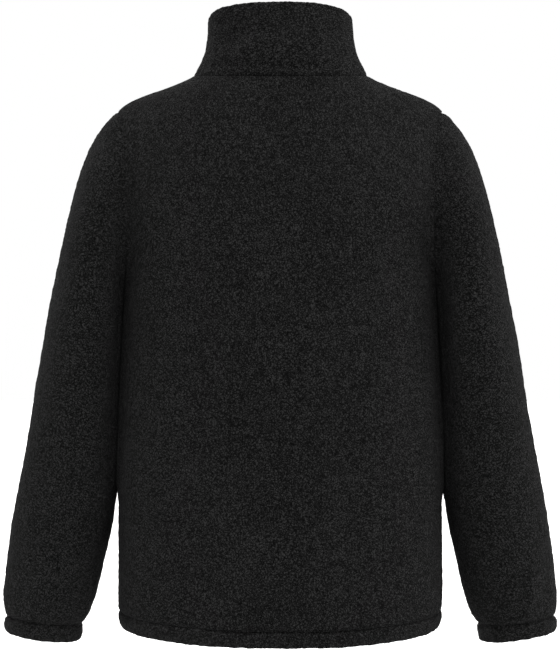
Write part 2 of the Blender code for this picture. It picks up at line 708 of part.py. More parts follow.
def slab(name, low, high, look, collection):
    """A box between two corners."""
    low, high = np.array(low), np.array(high)
    shape = bmesh.new()
    bmesh.ops.create_cube(shape, size=1.0)
    for corner in shape.verts:
        corner.co = (low + high) / 2 + np.array(corner.co) * (high - low)
    return place(name, shape, look, collection, soft=False)


def boolean(thing, other, operation):
    step = thing.modifiers.new(operation.lower() + "_" + other.name, "BOOLEAN")
    step.operation = operation
    step.solver = "EXACT"
    step.object = other
    other.hide_render = True
    other.display_type = "WIRE"


def make_zip(parts, tools, path):
    bottom, top = path[0, 1], path[-1, 1]
    face, tilt = slider_spot(path)
    chain_low = bottom + BOX_HEIGHT + ZIP_GAP
    line, normal = path_between(path, chain_low, face[1] + POST[0] - ZIP_GAP, ZIP_STEPS)
    strip("zip_chain", line, normal, (-CHAIN_HALF_WIDTH, CHAIN_HALF_WIDTH), CHAIN_DEPTHS,
          ZIP_RESIN, parts)
    line, normal = path_between(path, chain_low, top - TAPE_FROM_TOP, ZIP_STEPS)
    near, far = CHAIN_HALF_WIDTH + ZIP_GAP, ZIP_EDGE - ZIP_GAP
    strip("zip_tape_left", line, normal, (near, far), TAPE_DEPTHS, TAPE_CLOTH, parts)
    strip("zip_tape_right", line, normal, (-far, -near), TAPE_DEPTHS, TAPE_CLOTH, parts)
    line, normal = path_between(path, bottom + BOX_FROM_HEM, chain_low - ZIP_GAP, 2)
    strip("zip_box", line, normal, (-BOX_HALF_WIDTH, BOX_HALF_WIDTH), BOX_DEPTHS, ZIP_RESIN,
          parts)
    make_slider(parts, tools, face, tilt)
    make_pull(parts, tools, face, tilt)


def slider_spot(path):
    """Where the slider's middle lies on the cloth face, and how far the face tips back."""
    z = path[-1, 1] - SLIDER_FROM_TOP
    line, normal = path_between(path, z - 0.01, z + 0.01, 2)
    return line[1], math.atan2(-normal[1][1], -normal[1][0])


def make_slider(parts, tools, face, tilt):
    """Two plates, the post that joins them above the chain, side flanges and the bail."""
    front_face = -PLATE_OUT
    behind_chain = CHAIN_DEPTHS[1] + SLIDER_GAP
    back_face = behind_chain + PLATE
    front_inner = CHAIN_DEPTHS[0] - SLIDER_GAP
    half = SLIDER_HEIGHT / 2
    width = SLIDER_HALF_WIDTH
    body = slab("zip_slider", (-width, front_face, -half), (width, front_inner, half),
                ZIP_METAL, parts)
    pieces = [("back_plate", (-width, behind_chain, -half), (width, back_face, half)),
              ("post", (-POST_HALF_WIDTH, front_inner - OVERLAP, POST[0]),
               (POST_HALF_WIDTH, behind_chain + OVERLAP, POST[1]))]
    for side, name in ((1, "left"), (-1, "right")):
        near, far = sorted((side * (CHAIN_HALF_WIDTH + 2 * SLIDER_GAP), side * width))
        pieces.append(("front_flange_" + name, (near, front_inner - OVERLAP, -half),
                       (far, TAPE_DEPTHS[0] - SLIDER_GAP, half)))
        pieces.append(("back_flange_" + name, (near, TAPE_DEPTHS[1] + SLIDER_GAP, -half),
                       (far, behind_chain + OVERLAP, half)))
    eye = BAIL_INSIDE
    pieces.append(("bail", (-BAIL_HALF_WIDTH, -PIVOT_OUT - eye - BAIL_WIRE, -eye - BAIL_WIRE),
                   (BAIL_HALF_WIDTH, front_face + OVERLAP, eye + BAIL_WIRE)))
    spot = (0.0, face[0], face[1])
    body.location = spot
    body.rotation_euler = (tilt, 0.0, 0.0)
    for name, low, high in pieces:
        piece = slab("slider_" + name, low, high, ZIP_METAL, tools)
        piece.location = spot
        piece.rotation_euler = (tilt, 0.0, 0.0)
        boolean(body, piece, "UNION")
    hole = slab("slider_bail_eye", (-CUTTER_REACH, -PIVOT_OUT - eye, -eye),
                (CUTTER_REACH, front_face - EYE_ABOVE_PLATE, eye), ZIP_METAL, tools)
    hole.location = spot
    hole.rotation_euler = (tilt, 0.0, 0.0)
    boolean(body, hole, "DIFFERENCE")


def make_pull(parts, tools, face, tilt):
    """A flat tab that hangs from its top bar, which lies in the bail's eye."""
    pivot = (0.0, face[0] - PIVOT_OUT * math.cos(tilt), face[1] - PIVOT_OUT * math.sin(tilt))
    half = PULL_THICKNESS / 2
    pull = slab("zip_pull", (-PULL_HALF_WIDTH, -half, half - PULL_LENGTH),
                (PULL_HALF_WIDTH, half, half), ZIP_METAL, parts)
    pull.location = pivot
    slot = slab("pull_slot", (-PULL_SLOT_HALF_WIDTH, -CUTTER_REACH, -half - PULL_SLOT_LENGTH),
                (PULL_SLOT_HALF_WIDTH, CUTTER_REACH, -half), ZIP_METAL, tools)
    slot.location = pivot
    boolean(pull, slot, "DIFFERENCE")
    rounding = pull.modifiers.new("soft_edges", "BEVEL")
    rounding.width = PULL_BEVEL
    rounding.segments = 1


def main():
    parts, tools = start_scene()
    back, front = make_body(parts)
    make_cuffs(parts)
    hem = make_hem_band(parts)
    collar = make_collar(parts)
    make_zip(parts, tools, zip_path(hem, front, collar))


main()
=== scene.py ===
from math import atan2, cos, pi, radians, sin

import bmesh
import bpy
import numpy as np
from mathutils import Matrix, Vector, noise
from mathutils.bvhtree import BVHTree


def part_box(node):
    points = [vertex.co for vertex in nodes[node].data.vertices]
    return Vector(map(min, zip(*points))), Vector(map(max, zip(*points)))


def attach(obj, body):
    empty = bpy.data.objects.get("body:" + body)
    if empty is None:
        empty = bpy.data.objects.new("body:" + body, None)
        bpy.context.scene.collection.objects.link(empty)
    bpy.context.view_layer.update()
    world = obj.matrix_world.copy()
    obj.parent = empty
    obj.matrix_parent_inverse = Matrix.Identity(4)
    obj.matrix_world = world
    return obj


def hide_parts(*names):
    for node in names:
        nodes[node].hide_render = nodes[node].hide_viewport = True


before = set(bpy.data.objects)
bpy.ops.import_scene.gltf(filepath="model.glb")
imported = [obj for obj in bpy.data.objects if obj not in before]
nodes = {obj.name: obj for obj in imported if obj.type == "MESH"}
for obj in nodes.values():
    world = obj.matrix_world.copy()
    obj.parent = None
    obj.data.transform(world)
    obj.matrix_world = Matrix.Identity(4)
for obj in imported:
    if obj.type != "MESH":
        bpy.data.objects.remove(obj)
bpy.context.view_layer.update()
scene = bpy.context.scene


# The camera looks straight at the back, level, from a little below the chest.
cameraSet = {"place": (0.0004, 2.3, -0.309), "lens": 102.24, "sensor": 36.0}

camera = bpy.data.objects.new("camera", bpy.data.cameras.new("camera"))
scene.collection.objects.link(camera)
camera.location = cameraSet["place"]
camera.rotation_euler = (radians(90), 0, radians(180))
camera.data.lens = cameraSet["lens"]
camera.data.sensor_width = cameraSet["sensor"]
camera.data.clip_start = 0.05
scene.camera = camera


def linear(hexColour):
    # sRGB hex to the linear values that the shader takes
    parts = [int(hexColour[i:i + 2], 16) / 255 for i in (1, 3, 5)]
    return tuple(p / 12.92 if p <= 0.04045 else ((p + 0.055) / 1.055) ** 2.4
                 for p in parts) + (1.0,)


def addNode(tree, kind, settings=None, links=None):
    # settings are the node's own properties or its input values, links feed its inputs
    node = tree.nodes.new(kind)
    for name, value in (settings or {}).items():
        if isinstance(name, str) and hasattr(node, name):
            setattr(node, name, value)
        else:
            node.inputs[name].default_value = value
    for name, source in (links or {}).items():
        tree.links.new(source, node.inputs[name])
    return node


def newMaterial(name, values):
    material = bpy.data.materials.new(name)
    material.use_nodes = True
    shader = material.node_tree.nodes["Principled BSDF"]
    for socket, value in values.items():
        shader.inputs[socket].default_value = value
    return material, material.node_tree, shader


def setRamp(ramp, stops):
    # stops are (position, colour)
    elements = ramp.color_ramp.elements
    while len(elements) < len(stops):
        elements.new(0.5)
    for element, (position, colour) in zip(elements, stops):
        element.position = position
        element.color = colour


# Sherpa fleece: a polyester knit whose pile is brushed up and tumbled into small curls. Two
# sets of crooked gaps cross between the curls, and finer strands break up their tops. The nap
# is combed down over the shoulders and lies in short rows across the collar.
fleeceLook = {
    # painted shade in the gaps, the curls' colour, and painted light on their tops
    "gapShade": "#010101",
    "curls": "#090909",
    "litTips": "#262626",
    "body": (0.0030, 0.0030, 0.0031),      # how far apart the gaps of one set are, x, y and z
    "shoulders": (0.0028, 0.0031, 0.0048),
    "combed": (-0.17, -0.06),              # heights between which the nap changes
    "collar": (0.0040, 0.0036, 0.0030),
    "gapMiddle": 0.5,          # the value of the noise along the middle of a gap
    "gapWidth": 0.16,
    "dome": 0.45,              # below 1, the curls rise steeply from the gaps
    # scale, detail and share of what makes the curls uneven: clumps, the way the nap lies in
    # patches of 85 mm, strands and fuzz. Fibres are about 0.02 mm; the strands are 1.5 mm.
    "clouds": ((1 / 0.011, 1.0, 0.05), (1 / 0.085, 3.0, 0.05),
               (1 / 0.0015, 1.0, 0.28), (1 / 0.0005, 2.0, 0.14)),
    "cloudRange": (0.3, 0.7),
    "curlDepth": 0.0014,
    "stops": (("gapShade", 0.15), ("curls", 0.55), ("litTips", 1.05)),
    "shader": {"Roughness": 0.95, "IOR": 1.5, "Specular IOR Level": 0.04,
               "Sheen Weight": 0.03, "Sheen Roughness": 0.5},
    "sheenTint": "#b4b4b4",
}


def makeFleece(name, sizes):
    look = fleeceLook
    material, tree, shader = newMaterial(
        name, {**look["shader"], "Sheen Tint": linear(look["sheenTint"])})
    place = addNode(tree, "ShaderNodeTexCoord").outputs["Object"]
    layers = []
    for size in sizes:
        sized = addNode(tree, "ShaderNodeVectorMath", {"operation": "DIVIDE", 1: size},
                        {0: place})
        swirl = addNode(tree, "ShaderNodeTexNoise", {"Scale": 1.0, "Detail": 0.0},
                        {"Vector": sized.outputs["Vector"]})
        around = addNode(tree, "ShaderNodeVectorMath",
                         {"operation": "SUBTRACT", 1: (look["gapMiddle"],) * 3},
                         {0: swirl.outputs["Color"]})
        apart = addNode(tree, "ShaderNodeVectorMath", {"operation": "ABSOLUTE"},
                        {0: around.outputs["Vector"]})
        sets = addNode(tree, "ShaderNodeSeparateXYZ", None, {"Vector": apart.outputs["Vector"]})
        nearest = addNode(tree, "ShaderNodeMath", {"operation": "MINIMUM"},
                          {0: sets.outputs["X"], 1: sets.outputs["Y"]})
        layers.append(nearest.outputs["Value"])
    distance = layers[0]
    if len(layers) > 1:
        parts = addNode(tree, "ShaderNodeSeparateXYZ", None, {"Vector": place})
        low, high = look["combed"]
        upward = addNode(tree, "ShaderNodeMapRange", {"From Min": low, "From Max": high},
                         {"Value": parts.outputs["Z"]})
        mixed = addNode(tree, "ShaderNodeMix", None,
                        {0: upward.outputs["Result"], 2: layers[0], 3: layers[1]})
        distance = mixed.outputs[0]
    rise = addNode(tree, "ShaderNodeMapRange", {"From Max": look["gapWidth"]},
                   {"Value": distance})
    total = addNode(tree, "ShaderNodeMath", {"operation": "POWER", 1: look["dome"]},
                    {0: rise.outputs["Result"]}).outputs["Value"]
    least, most = look["cloudRange"]
    for scale, detail, share in look["clouds"]:
        cloud = addNode(tree, "ShaderNodeTexNoise", {"Scale": scale, "Detail": detail},
                        {"Vector": place})
        spread = addNode(tree, "ShaderNodeMapRange",
                         {"From Min": least, "From Max": most, "To Min": -share,
                          "To Max": share}, {"Value": cloud.outputs["Fac"]})
        total = addNode(tree, "ShaderNodeMath", {"operation": "ADD"},
                        {0: total, 1: spread.outputs["Result"]}).outputs["Value"]
    # the height sets the colour: painted shade in the gaps, painted light on the tops of the
    # curls
    top = look["stops"][-1][1]
    scaled = addNode(tree, "ShaderNodeMath", {"operation": "DIVIDE", 1: top}, {0: total})
    ramp = addNode(tree, "ShaderNodeValToRGB", None, {"Fac": scaled.outputs["Value"]})
    setRamp(ramp, [(at / top, linear(look[part])) for part, at in look["stops"]])
    bump = addNode(tree, "ShaderNodeBump",
                   {"Strength": 1.0, "Distance": look["curlDepth"]}, {"Height": total})
    tree.links.new(ramp.outputs["Color"], shader.inputs["Base Color"])
    tree.links.new(bump.outputs["Normal"], shader.inputs["Normal"])
    return material


waveScale = 0.314              # of a wave texture whose bands are one metre apart


def addWave(tree, place, direction, spacing, distortion):
    return addNode(tree, "ShaderNodeTexWave",
                   {"bands_direction": direction, "Scale": waveScale / spacing,
                    "Distortion": distortion, "Detail": 1.0}, {"Vector": place})


def paintedShadeAndBump(tree, shader, height, stops, strength, depth):
    # the same height gives the colour, darker where it is low as painted shade in the hollows,
    # and the bump
    ramp = addNode(tree, "ShaderNodeValToRGB", None, {"Fac": height})
    setRamp(ramp, [(at, linear(colour)) for at, colour in stops])
    bump = addNode(tree, "ShaderNodeBump", {"Strength": strength, "Distance": depth},
                   {"Height": height})
    tree.links.new(ramp.outputs["Color"], shader.inputs["Base Color"])
    tree.links.new(bump.outputs["Normal"], shader.inputs["Normal"])


# Knit back of the fleece: fine upright wales, flat and a little smoother than the pile.
knitLook = {
    # darker where the loops sink, as painted shade between the wales and courses
    "stops": ((0.0, "#0c0c0d"), (0.8, "#19191b")),
    "wale": (0.0022, 0.6),     # apart, how crooked
    "course": (0.0018, 0.8),
    "bump": (0.6, 0.0004),
    "shader": {"Roughness": 0.85, "IOR": 1.5, "Specular IOR Level": 0.12,
               "Sheen Weight": 0.05, "Sheen Roughness": 0.5},
}


def makeKnitBack():
    look = knitLook
    material, tree, shader = newMaterial("knitBack", look["shader"])
    place = addNode(tree, "ShaderNodeTexCoord").outputs["Object"]
    wales = addWave(tree, place, "X", *look["wale"])
    courses = addWave(tree, place, "Z", *look["course"])
    loops = addNode(tree, "ShaderNodeMath", {"operation": "MULTIPLY"},
                    {0: wales.outputs["Fac"], 1: courses.outputs["Fac"]})
    paintedShadeAndBump(tree, shader, loops.outputs["Value"], look["stops"], *look["bump"])
    return material


# Zip tape: twill-woven polyester, matt, with a slight shine where the yarn floats, painted as
# lighter colour on the ribs, and painted shade between them.
tapeLook = {
    "stops": ((0.1, "#050506"), (0.8, "#0d0d0e")),
    "twill": (0.00105, 0.4),   # yarns of 0.7 mm, one and a half to a rib; how crooked
    "slant": 35,
    "bump": (0.7, 0.0002),
    "shader": {"Roughness": 0.75, "IOR": 1.5, "Specular IOR Level": 0.10,
               "Sheen Weight": 0.03, "Sheen Roughness": 0.4},
}


def makeTape():
    look = tapeLook
    material, tree, shader = newMaterial("wovenTape", look["shader"])
    place = addNode(tree, "ShaderNodeTexCoord").outputs["Object"]
    turned = addNode(tree, "ShaderNodeMapping",
                     {"Rotation": (0.0, radians(look["slant"]), 0.0)}, {"Vector": place})
    twill = addWave(tree, turned.outputs["Vector"], "X", *look["twill"])
    paintedShadeAndBump(tree, shader, twill.outputs["Fac"], look["stops"], *look["bump"])
    return material


# Zip resin: injection-moulded acetal with a fine eroded surface. Zip metal: die-cast zinc
# under black lacquer, its tone uneven with its grain. Thread: spun polyester, matt and hairy.
# The grain of each is darker where it is low, as painted shade.
hardGrain = {"Detail": 4.0, "Roughness": 0.6}
# painted shade in the grain's low spots, lighter on its high ones
hardStops = (0.3, 0.75)        # where the grain is dark and where it is light
hardBump = 0.4
hardLooks = {
    # shader, dark and light colour, size of the grain, its depth
    "mouldedAcetal": ({"Roughness": 0.42, "IOR": 1.48, "Specular IOR Level": 0.25},
                      "#070708", "#0e0e0f", 0.0006, 0.00004),
    "lacqueredZinc": ({"Roughness": 0.33, "IOR": 1.5, "Metallic": 0.85},
                      "#161618", "#2b2b2e", 0.0009, 0.00005),
    "spunPolyesterThread": ({"Roughness": 0.7, "IOR": 1.5, "Specular IOR Level": 0.12,
                             "Sheen Weight": 0.03}, "#060607", "#0f0f10", 0.0004, 0.0001),
}


def makeHard(name):
    values, dark, light, grain, depth = hardLooks[name]
    material, tree, shader = newMaterial(name, values)
    place = addNode(tree, "ShaderNodeTexCoord").outputs["Object"]
    grains = addNode(tree, "ShaderNodeTexNoise", {"Scale": 1 / grain, **hardGrain},
                     {"Vector": place})
    paintedShadeAndBump(tree, shader, grains.outputs["Fac"], tuple(zip(hardStops, (dark, light))),
                  hardBump, depth)
    return material


fleece = makeFleece("sherpaFleece", [fleeceLook["body"], fleeceLook["shoulders"]])
collarFleece = makeFleece("sherpaFleeceCollar", [fleeceLook["collar"]])
knitBack = makeKnitBack()
wovenTape = makeTape()
acetal = makeHard("mouldedAcetal")
lacquer = makeHard("lacqueredZinc")
thread = makeHard("spunPolyesterThread")
print("materials made")


def linkPiece(name, mesh, body, replaced):
    piece = bpy.data.objects.new(name, mesh)
    scene.collection.objects.link(piece)
    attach(piece, body)
    if replaced:
        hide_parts(*replaced)
    return piece


def meshFrom(bm, name, *materials):
    mesh = bpy.data.meshes.new(name)
    bm.to_mesh(mesh)
    bm.free()
    for material in materials:
        mesh.materials.append(material)
    return mesh


weldGap = 0.00002              # points of a node closer than this are one point


def mergedNode(node):
    # a copy of the node's loose triangles, joined at their points
    bm = bmesh.new()
    bm.from_mesh(nodes[node].data)
    bmesh.ops.remove_doubles(bm, verts=bm.verts, dist=weldGap)
    return bm


clothLook = {
    "levels": 2,               # of smoothing
    "corner": 50,              # degrees, from which an edge parts a skin from a rim
    "wall": 0.5,               # what has this share of the outer skin's area is the inner skin
}
outerSkin, innerSkin, rim = range(3)       # material slots of a cloth piece


def markSkins(bm):
    # faces joined without a sharp edge between them are one skin: the largest is the outer
    # one, the next the inner one, and the rest are the rims, which keep their corners
    crease = bm.edges.layers.float.new("crease_edge")
    corner = radians(clothLook["corner"])
    sharp = {e for e in bm.edges if e.calc_face_angle(0) > corner}
    for edge in sharp:
        edge[crease] = 1.0
    skins, left = [], set(bm.faces)
    while left:
        skin, spread = [], [left.pop()]
        while spread:
            face = spread.pop()
            skin.append(face)
            for edge in face.edges:
                if edge not in sharp:
                    for other in edge.link_faces:
                        if other in left:
                            left.remove(other)
                            spread.append(other)
        skins.append((sum(f.calc_area() for f in skin), skin))
    skins.sort(key=lambda pair: -pair[0])
    largest = skins[0][0]
    for at, (area, skin) in enumerate(skins):
        isWall = area > largest * clothLook["wall"]
        for face in skin:
            face.smooth = True
            face.material_index = outerSkin if at == 0 else (innerSkin if isWall else rim)


def smoothed(bm, levels):
    # Catmull-Clark through the editor's own modifier, with the rims' edges kept
    mesh = meshFrom(bm, "working", None, None, None)
    holder = bpy.data.objects.new("working", mesh)
    scene.collection.objects.link(holder)
    step = holder.modifiers.new("smooth", "SUBSURF")
    step.levels = step.render_levels = levels
    result = bpy.data.meshes.new_from_object(
        holder.evaluated_get(bpy.context.evaluated_depsgraph_get()))
    bpy.data.objects.remove(holder)
    bpy.data.meshes.remove(mesh)
    bm = bmesh.new()
    bm.from_mesh(result)
    bpy.data.meshes.remove(result)
    return bm


def refine(bm, size):
    # cuts the outer skin's quads down to about one size, each way by its own number of cuts:
    # the edges that run one way are marked 1 and those that cross them 2, from quad to quad
    way = bm.edges.layers.int.new("way")
    outer = [f for f in bm.faces if f.material_index == outerSkin]
    seen = set()
    for start in outer:
        if start in seen:
            continue
        start.edges[0][way] = 1
        seen.add(start)
        spread = [start]
        while spread:
            face = spread.pop()
            if len(face.edges) != 4:
                continue
            at = [e[way] for e in face.edges]
            first = next((i for i in range(4) if at[i]), 0)
            for i, edge in enumerate(face.edges):
                if not edge[way]:
                    same = (i - first) % 2 == 0
                    edge[way] = at[first] if same else 3 - at[first]
                for other in edge.link_faces:
                    if other not in seen and other.material_index == outerSkin:
                        seen.add(other)
                        spread.append(other)
    for isFirst in (True, False):
        edges = [e for e in bm.edges if (e[way] == 1) == isFirst
                 and any(f.material_index == outerSkin for f in e.link_faces)]
        length = sum(e.calc_length() for e in edges) / len(edges)
        cuts = max(0, round(length / size) - 1)
        print("  edges of", round(length * 1000, 2), "mm,", cuts, "cuts")
        if cuts:
            bmesh.ops.subdivide_edges(bm, edges=edges, cuts=cuts, use_grid_fill=True)


# The relief of the pile that the mesh carries: single curls, the clumps they lie in, stray
# ones, and the slow hills and hollows of worn cloth, each with its height and size in metres.
pile = {
    "curl": (0.0008, 0.0046),
    "clump": (0.0007, 0.0095),
    "stray": (0.0004, 0.0020),
    "slow": (0.0011, 0.075),
    "wander": (140, 0.002),    # how often and how far the curls' edges wander
    "seed": 1,                 # of that wander
    "crown": (-0.5, 0.45),     # lowest and highest part of a curl, as shares of its height
    "roll": (0.0022, 0.0011, 0.0003),      # how far an edge at a band sinks, row by row
    "rollShare": (0.25, -0.60, 0.022),     # its share elsewhere; the bands are below this z,
                                           # and the zip's edges are within this x in front
    "edgePile": 0.25,          # how much of the pile stands in the first row, and more by row
    "seam": 0.0004,            # how far an edge is let out towards its neighbour
}


noise.seed_set(pile["seed"])   # without it, noise_vector takes its offsets from the clock


def curlHeight(place):
    height, size = pile["curl"]
    often, far = pile["wander"]
    low, high = pile["crown"]
    near = noise.voronoi((place + noise.noise_vector(place * often) * far) / size)[0]
    return max(low, high - near[0]) * height


creaseLook = {
    "ends": (0.12, 0.35),      # how far a crease runs on past its ends, and fades there
    "facing": (2.5, 0.2),      # how soon it shows on cloth that turns to its side
}


def creaseLift(places, normals, creases):
    # each crease is a bent line seen from behind or from in front: side, start x z, end x z,
    # sideways bow at its middle, width, lift (a ridge is positive)
    past, fade = creaseLook["ends"]
    slope, least = creaseLook["facing"]
    lift = np.zeros(len(places))
    for side, x0, z0, x1, z1, bow, width, height in creases:
        way = np.array([x1 - x0, z1 - z0])
        length = np.linalg.norm(way)
        way /= length
        relative = places[:, [0, 2]] - np.array([x0, z0])
        along = relative @ way / length
        across = relative @ np.array([-way[1], way[0]])
        across = across - bow * 4 * along * (1 - along)
        ends = np.clip(np.minimum(along + past, 1 + past - along) / fade, 0, 1)
        ends = ends * ends * (3 - 2 * ends)
        facing = np.clip(normals[:, 1] * side * slope + least, 0, 1)
        lift += height * ends * facing * np.exp(-(across / width) ** 2)
    return lift


def letOut(bm):
    # the rims of sewn pieces meet, so no light comes through the seam
    ways = {}
    for face in bm.faces:
        if face.material_index == rim:
            for vert in face.verts:
                ways[vert] = ways.get(vert, Vector()) + face.normal * face.calc_area()
    for vert, way in ways.items():
        if way.length > 0:
            vert.co += way.normalized() * pile["seam"]


# The sleeves lie against the sides of the body between these heights.
beside = {
    "heights": (-0.530, -0.060),
    "fade": 0.025,             # height over which the sides part again
    "reach": 0.011,            # gaps wider than this stay, those of half of it close
    "sideways": 0.25,          # how far a skin has to face sideways to be moved
    "over": 0.0007,            # how far each skin is pressed past the middle of the gap
}


def closeUp(points, neighbour):
    # how far each point moves sideways to meet the piece that hangs close beside it
    moves = np.zeros(len(points))
    low, high = beside["heights"]
    fade, reach = beside["fade"], beside["reach"]
    for at, vert in enumerate(points):
        if low < vert.co.z < high and abs(vert.normal.x) > beside["sideways"]:
            way = Vector((1 if vert.normal.x > 0 else -1, 0, 0))
            hit, _, _, gap = neighbour.ray_cast(vert.co, way, reach)
            if hit is not None:
                ends = min(1.0, (vert.co.z - low) / fade, (high - vert.co.z) / fade)
                near = min(1.0, (reach - gap) / (reach / 2))
                moves[at] = way.x * (gap / 2 + beside["over"]) * ends * near
    return moves


def edgeRows(points):
    # the rows of points next to the edges of the outer skin, as many as the roll has
    row = {v: 0 for v in points if any(f.material_index != outerSkin for f in v.link_faces)}
    front = list(row)
    for at in range(1, len(pile["roll"])):
        following = []
        for vert in front:
            for edge in vert.link_edges:
                other = edge.other_vert(vert)
                if other not in row and any(f.material_index == outerSkin
                                            for f in other.link_faces):
                    row[other] = at
                    following.append(other)
        front = following
    return row


def raisePile(bm, creases, neighbour):
    # moves the outer skin's points out by the creases, the slow unevenness and the curls
    bm.normal_update()
    letOut(bm)
    points = [v for v in bm.verts if any(f.material_index == outerSkin for f in v.link_faces)]
    row = edgeRows(points)
    normals = np.array([v.normal for v in points])
    lift = creaseLift(np.array([v.co for v in points]), normals, creases)
    sideways = closeUp(points, neighbour) if neighbour else np.zeros(len(points))
    elsewhere, bandsFrom, besideZip = pile["rollShare"]
    for at, vert in enumerate(points):
        place = vert.co.copy()
        out = lift[at] + curlHeight(place)
        for kind in ("clump", "stray", "slow"):
            height, size = pile[kind]
            out += noise.noise(place / size) * height
        if vert in row:
            atBand = place.z < bandsFrom and not (place.y < 0 and abs(place.x) < besideZip)
            sunk = pile["roll"][row[vert]] * (1.0 if atBand else elsewhere)
            out = out * (pile["edgePile"] * (1 + row[vert])) - sunk
        vert.co += vert.normal * out
        vert.co.x += sideways[at]


